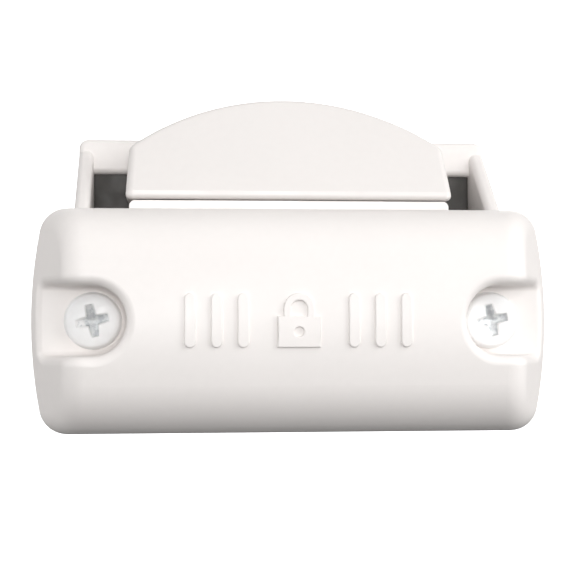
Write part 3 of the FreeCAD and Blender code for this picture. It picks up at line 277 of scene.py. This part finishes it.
def painted_screw():
    """White enamel on a steel pan head; the driver has stripped the cross to bare metal."""
    s = Shader("painted_screw")
    struck = s.add("ShaderNodeAttribute", attribute_name="struck").outputs["Fac"]
    ragged = s.math("MULTIPLY", s.math("SUBTRACT", s.noise(1500, detail=4, roughness=0.65), 0.5), 1.2)
    bare = s.ramp(s.math("ADD", struck, ragged), 0.42, 0.54)
    paint = s.blend(s.ramp(s.noise(700), 0.3, 0.7), grey(0.9), grey(0.87, 0.004))
    blotch = s.ramp(s.noise(1100, detail=3), 0.38, 0.62)
    steel = s.blend(blotch, tint(0.58, 0.6, 0.62), tint(0.8, 0.82, 0.82))
    rough = s.ramp(s.noise(900), 0.3, 0.7, 0.28, 0.4)
    normal = s.bump((s.noise(900), 0.02 * MM), (bare, -0.03 * MM))
    return s.finish(Base_Color=s.blend(bare, paint, steel), Metallic=s.math("MULTIPLY", bare, 0.45),
                    Roughness=rough, Normal=normal)


def metal(name, light, dark, roughness, lines, line_depth):
    """Bare or plated metal with drawn or brushed lines; lines scales each axis's noise."""
    s = Shader(name)
    brushed = s.noise(1.0, detail=3, place=s.stretched(*lines))
    cloud = s.noise(160, detail=3)
    tone = s.math("ADD", s.math("MULTIPLY", brushed, 0.5), s.math("MULTIPLY", cloud, 0.5))
    bright = s.math("MULTIPLY", s.edges(0.35 * MM), 0.5)
    body = s.blend(s.ramp(tone, 0.35, 0.65), dark, light)
    skin = s.blend(bright, body, brighter(light, 1.15))
    rough = s.ramp(cloud, 0.3, 0.7, roughness - 0.06, roughness + 0.07)
    normal = s.bump((brushed, line_depth))
    return s.finish(Base_Color=skin, Metallic=1.0, Roughness=rough, Normal=normal)


def coated_steel():
    """Black powder coat with an orange-peel skin, rubbed through to steel on its edges; its near-black
    also stands in for the deep shade seen through the housing's windows, so it is partly the coat's
    colour and partly painted shade.
    """
    s = Shader("black_coated_steel")
    peel = s.noise(900)
    worn = s.math("MULTIPLY", s.edges(0.4 * MM), s.ramp(s.noise(260, detail=4), 0.48, 0.62))
    # Painted shade: the near-black body is set this dark to stand for the deep shade in the housing's
    # windows, as well as being the coat's own colour.
    body = s.blend(s.ramp(s.noise(140, detail=3), 0.3, 0.7), grey(0.04, 0.1), grey(0.06, 0.1))
    rough = s.ramp(s.noise(300), 0.3, 0.7, 0.5, 0.62)
    normal = s.bump((peel, 0.02 * MM), (worn, -0.02 * MM))
    return s.finish(Base_Color=s.blend(worn, body, grey(0.42)), Metallic=s.math("MULTIPLY", worn, 0.9),
                    Roughness=rough, Normal=normal)


def rubber():
    """Matt black rubber with a dusty bloom."""
    s = Shader("black_rubber")
    bloom = s.ramp(s.noise(520, detail=4), 0.45, 0.75)
    skin = s.blend(bloom, grey(0.02), grey(0.06, 0.03))
    rough = s.ramp(bloom, 0.0, 1.0, 0.72, 0.9)
    normal = s.bump((s.noise(2400), 0.015 * MM))
    return s.finish(Base_Color=skin, Roughness=rough, Normal=normal)


finishes = {
    "cover_white": white_plastic("cover_white", 0.85, 0.83, 0.42),
    "housing_white": white_plastic("housing_white", 0.82, 0.79, 0.45),
    # Painted shade: the cap's white is a darker copy of the cover's white, standing in for the shade on
    # its sloped face.
    "cap_white": white_plastic("cap_white", 0.775, 0.755, 0.4),
    "slider_white": white_plastic("slider_white", 0.84, 0.81, 0.38),
    "painted_screw": painted_screw(),
    "black_coated_steel": coated_steel(),
    "zinc_steel": metal("zinc_steel", grey(0.66, -0.03), grey(0.5, -0.02), 0.34,
                        (700, 700, 700), 0.006 * MM),
    # The frame's near-black acetal is partly its own colour and partly painted shade for the dark
    # windows of the housing.
    "dark_acetal": moulded_plastic("dark_acetal", grey(0.06, 0.05), grey(0.085, 0.06), 0.36,
                                   0.008 * MM),
    "nickel_bolt": metal("nickel_bolt", grey(0.7, 0.03), grey(0.58, 0.04), 0.26,
                         (90, 2600, 2600), 0.004 * MM),
    "ground_pin": metal("ground_pin", grey(0.62), grey(0.5), 0.22, (900, 5200, 900), 0.003 * MM),
    "spring_steel": metal("spring_steel", grey(0.46, -0.02), grey(0.3, 0.02), 0.33,
                          (1800, 1800, 1800), 0.005 * MM),
    "black_rubber": rubber(),
}
slot_of = {part["node"]: part["material_slot"] for part in frame["record"]["subparts"]}
for name, piece in frame["nodes"].items():
    for held in piece.material_slots:
        held.material = finishes[slot_of[name]]


# ---------------------------------------------------------------- meshes
def smooth(value, low, high):
    """0 below low, 1 above high, and an even S between them."""
    t = min(1.0, max(0.0, (value - low) / (high - low)))
    return t * t * (3 - 2 * t)


def placed(name, mesh, material):
    """A smooth shaded object in the scene, from a bmesh that is used up."""
    data = bpy.data.meshes.new(name)
    mesh.to_mesh(data)
    mesh.free()
    data.polygons.foreach_set("use_smooth", [True] * len(data.polygons))
    data.materials.append(material)
    piece = bpy.data.objects.new(name, data)
    bpy.context.scene.collection.objects.link(piece)
    return piece


def skin_rings(name, rings, finish):
    """A closed smooth mesh through rings of points; every ring has the same number of points."""
    mesh = bmesh.new()
    rows = [[mesh.verts.new(point) for point in ring] for ring in rings]
    for one, two in zip(rows, rows[1:]):
        for k in range(len(one)):
            after = (k + 1) % len(one)
            mesh.faces.new((one[k], one[after], two[after], two[k]))
    mesh.faces.new(reversed(rows[0]))
    mesh.faces.new(rows[-1])
    bmesh.ops.recalc_face_normals(mesh, faces=mesh.faces)
    piece = placed(name, mesh, finishes[finish])
    return piece


# ---------------------------------------------------------------- cover screws
def cross_share(across, up):
    """How far a point of the head is inside the cross recess, and how far it is struck bare."""
    c, s = math.cos(CROSS_TURN), math.sin(CROSS_TURN)
    u, v = across * c + up * s, up * c - across * s
    along, aside = max(abs(u), abs(v)), min(abs(u), abs(v))
    half = CROSS_HALF_WIDTH * (1 - CROSS_NARROWING * along / CROSS_REACH)
    inside = min(half - aside, CROSS_REACH - along)
    if along < half:
        inside = max(inside, CROSS_CORNER - math.hypot(aside - half, along - half))
    share = smooth(inside, *CROSS_BRINK)
    painted = ARM_PAINT * smooth(-u, *ARM_PAINT_FROM)
    return share, share * (1 - painted)


def thread_cut(angle, y):
    """How far the thread is cut in, from 0 to 1: a V groove that climbs one pitch each turn."""
    phase = (y / THREAD_PITCH + angle / FULL_TURN) % 1
    return abs(2 * phase - 1)


def pan_screw(name, axis_x, crown_y, tip_y):
    """A pan head machine screw: crowned head with a cross recess, and a threaded shank."""
    seat_y = crown_y + HEAD_HEIGHT
    rings, struck = [], []

    def ring(radius, y, recess=False, groove=0.0):
        """One more ring of the skin; recess sinks the cross into it, groove is the thread's depth."""
        points = []
        for k in range(SCREW_SIDES):
            angle = FULL_TURN * k / SCREW_SIDES
            r = radius - groove * thread_cut(angle, y)
            across, up = r * math.cos(angle), r * math.sin(angle)
            share, bare = cross_share(across, up) if recess else (0.0, 0.0)
            depth = CROSS_DEPTH * max(CROSS_END_DEPTH, 1 - CROSS_RISE * r / CROSS_REACH)
            points.append((axis_x + across, y + share * depth, up))
            struck.append(bare)
        rings.append(points)

    for step in range(1, CROWN_RINGS + 1):
        share = step / CROWN_RINGS
        fall = CROWN_FALL * share ** 2 + SHOULDER_FALL * share ** SHOULDER_POWER
        ring(HEAD_RADIUS * share * CROWN_SPAN, crown_y + HEAD_HEIGHT * fall, recess=True)
    for step in range(1, RIM_RINGS + 1):
        turn = math.pi / 2 * step / RIM_RINGS
        out = HEAD_RADIUS * (CROWN_SPAN + (1 - CROWN_SPAN) * math.sin(turn))
        fall = CROWN_FALL + SHOULDER_FALL + RIM_FALL * (1 - math.cos(turn))
        ring(out, crown_y + HEAD_HEIGHT * fall)
    ring(HEAD_RADIUS, seat_y)
    ring(SHANK_RADIUS, seat_y)
    rows = int((tip_y - seat_y) / THREAD_PITCH * RINGS_PER_PITCH)
    for row in range(1, rows + 1):
        y = seat_y + (tip_y - seat_y) * row / rows
        taper = TIP_TAPER * smooth(y, tip_y - TIP_LENGTH, tip_y)
        groove = THREAD_DEPTH * smooth(y - seat_y, 0, THREAD_PITCH)
        ring(SHANK_RADIUS - taper, y, groove=groove)

    piece = skin_rings(name, rings, "painted_screw")
    paint = piece.data.attributes.new("struck", "FLOAT", "POINT")
    paint.data.foreach_set("value", struck)
    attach(piece, "housing")
    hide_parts("cover_screws")


low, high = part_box("cover_screws")
screw_x = high.x - HEAD_RADIUS
pan_screw("pan_screw_left", -screw_x, low.y, high.y)
pan_screw("pan_screw_right", screw_x, low.y, high.y)


# ---------------------------------------------------------------- return springs
def spring(name, node):
    """A compression spring of round wire with closed ends, in the place of its CAD solid."""
    low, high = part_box(node)
    wire = SPRING_WIRE / 2
    radius = (high.x - low.x) / 2 - wire
    middle = (low + high) / 2
    length = high.z - low.z
    climb = length - 2 * wire - 2 * SPRING_END_TURNS * SPRING_WIRE
    section = [FULL_TURN * k / WIRE_SIDES for k in range(WIRE_SIDES)]
    steps = int((SPRING_TURNS + 2 * SPRING_END_TURNS) * SPRING_STEPS_PER_TURN)
    rings = []
    for step in range(steps + 1):
        turns = step / SPRING_STEPS_PER_TURN
        open_turns = min(max(turns - SPRING_END_TURNS, 0.0), SPRING_TURNS)
        lift = (turns - open_turns) * SPRING_WIRE + climb * open_turns / SPRING_TURNS
        angle = FULL_TURN * turns
        out = Vector((math.cos(angle), math.sin(angle), 0))
        centre = Vector((middle.x, middle.y, low.z + wire + lift)) + out * radius
        rings.append([centre + (out * math.cos(a) + Vector((0, 0, math.sin(a)))) * wire
                      for a in section])
    piece = skin_rings(name, rings, "spring_steel")
    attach(piece, "housing")
    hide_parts(node)
    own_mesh(piece)


spring("wound_spring_left", "return_spring_left")
spring("wound_spring_right", "return_spring_right")


# ---------------------------------------------------------------- studio
def backdrop():
    """Plain white floor that sweeps up into a dome. Only the camera sees it, so it adds no light."""
    floor_z = cad_box[0].z - FLOOR_DROP
    profile = [(0, 0), (BACKDROP_RADIUS * BACKDROP_FLAT, 0)]
    for step in range(1, BACKDROP_RINGS + 1):
        angle = math.pi * step / BACKDROP_RINGS
        out = math.sin(angle)
        if angle <= math.pi / 2:
            out = BACKDROP_FLAT + (1 - BACKDROP_FLAT) * out
        profile.append((BACKDROP_RADIUS * out, BACKDROP_RADIUS * (1 - math.cos(angle)) / 2))
    mesh = bmesh.new()
    points = [mesh.verts.new((out, 0, floor_z + up)) for out, up in profile]
    edges = [mesh.edges.new(pair) for pair in zip(points, points[1:])]
    bmesh.ops.spin(mesh, geom=points + edges, cent=(0, 0, 0), axis=(0, 0, 1),
                   angle=FULL_TURN, steps=BACKDROP_SIDES, use_merge=True)
    bmesh.ops.remove_doubles(mesh, verts=mesh.verts, dist=1 * MM)
    look = Shader("floor_white")
    white = look.blend(look.noise(3, detail=1), grey(0.9), grey(0.92))
    look.finish(Base_Color=white, Roughness=0.9, Emission_Color=grey(1.0),
                Emission_Strength=BACKDROP_GLOW)
    piece = placed("floor", mesh, look.material)
    piece.visible_diffuse = False
    piece.visible_glossy = False
    piece.visible_transmission = False
    piece.visible_shadow = False


def aimed(name, data, azimuth, elevation, distance):
    """A light that shines on the latch from that side; azimuth 0 is in front, + is to the right."""
    a, e = math.radians(azimuth), math.radians(elevation)
    source = Vector((math.sin(a) * math.cos(e), -math.cos(a) * math.cos(e), math.sin(e)))
    lamp = bpy.data.objects.new(name, data)
    lamp.rotation_mode = "QUATERNION"
    lamp.rotation_quaternion = source.to_track_quat("Z", "Y")
    lamp.location = (cad_box[0] + cad_box[1]) / 2 + source * distance
    lamp.visible_camera = False
    bpy.context.scene.collection.objects.link(lamp)


def lights():
    """A near softbox from the upper right, and wide fills all round."""
    key = bpy.data.lights.new("softbox", "AREA")
    key.energy = SOFTBOX["power"]
    key.size = SOFTBOX["size"]
    aimed("softbox", key, SOFTBOX["azimuth"], SOFTBOX["elevation"], SOFTBOX["distance"])
    for number, (azimuth, elevation, spread, strength) in enumerate(FILLS):
        fill = bpy.data.lights.new(f"fill_{number}", "SUN")
        fill.energy = strength
        fill.angle = math.radians(spread)
        aimed(f"fill_{number}", fill, azimuth, elevation, 1)


def sky():
    """Soft fill light, weak from below and stronger from above."""
    world = bpy.data.worlds.new("studio")
    world.use_nodes = True
    bpy.context.scene.world = world
    nodes, links = world.node_tree.nodes, world.node_tree.links
    direction = nodes.new("ShaderNodeTexCoord").outputs["Generated"]
    split = nodes.new("ShaderNodeSeparateXYZ")
    links.new(direction, split.inputs[0])
    scaled = nodes.new("ShaderNodeMapRange")
    links.new(split.outputs["Z"], scaled.inputs["Value"])
    scaled.inputs["From Min"].default_value = -1.0
    ramp = nodes.new("ShaderNodeValToRGB")
    links.new(scaled.outputs["Result"], ramp.inputs["Fac"])
    points = ramp.color_ramp.elements
    while len(points) < len(SKY_STOPS):
        points.new(0.5)
    for point, (height, level) in zip(points, SKY_STOPS):
        point.position = height
        point.color = grey(level)
    links.new(ramp.outputs["Color"], nodes["Background"].inputs["Color"])


def camera():
    """The camera, placed and turned by its own yaw, pitch and roll."""
    yaw, pitch, roll = (math.radians(a) for a in (CAMERA_YAW, CAMERA_PITCH, CAMERA_ROLL))
    ahead = Vector((math.sin(yaw) * math.cos(pitch), math.cos(yaw) * math.cos(pitch), math.sin(pitch)))
    level = Vector((math.cos(yaw), -math.sin(yaw), 0))
    above = level.cross(ahead)
    right = level * math.cos(roll) + above * math.sin(roll)
    up = above * math.cos(roll) - level * math.sin(roll)
    data = bpy.data.cameras.new("camera")
    data.lens = CAMERA_LENS
    data.sensor_width = CAMERA_SENSOR
    data.clip_start = CAMERA_CLIP_START
    eye = bpy.data.objects.new("camera", data)
    turn = Matrix((right, up, -ahead)).transposed()
    eye.matrix_world = Matrix.Translation(CAMERA_PLACE) @ turn.to_4x4()
    bpy.context.scene.collection.objects.link(eye)
    bpy.context.scene.camera = eye


backdrop()
lights()
sky()
camera()
bpy.context.scene.view_settings.view_transform = "Standard"
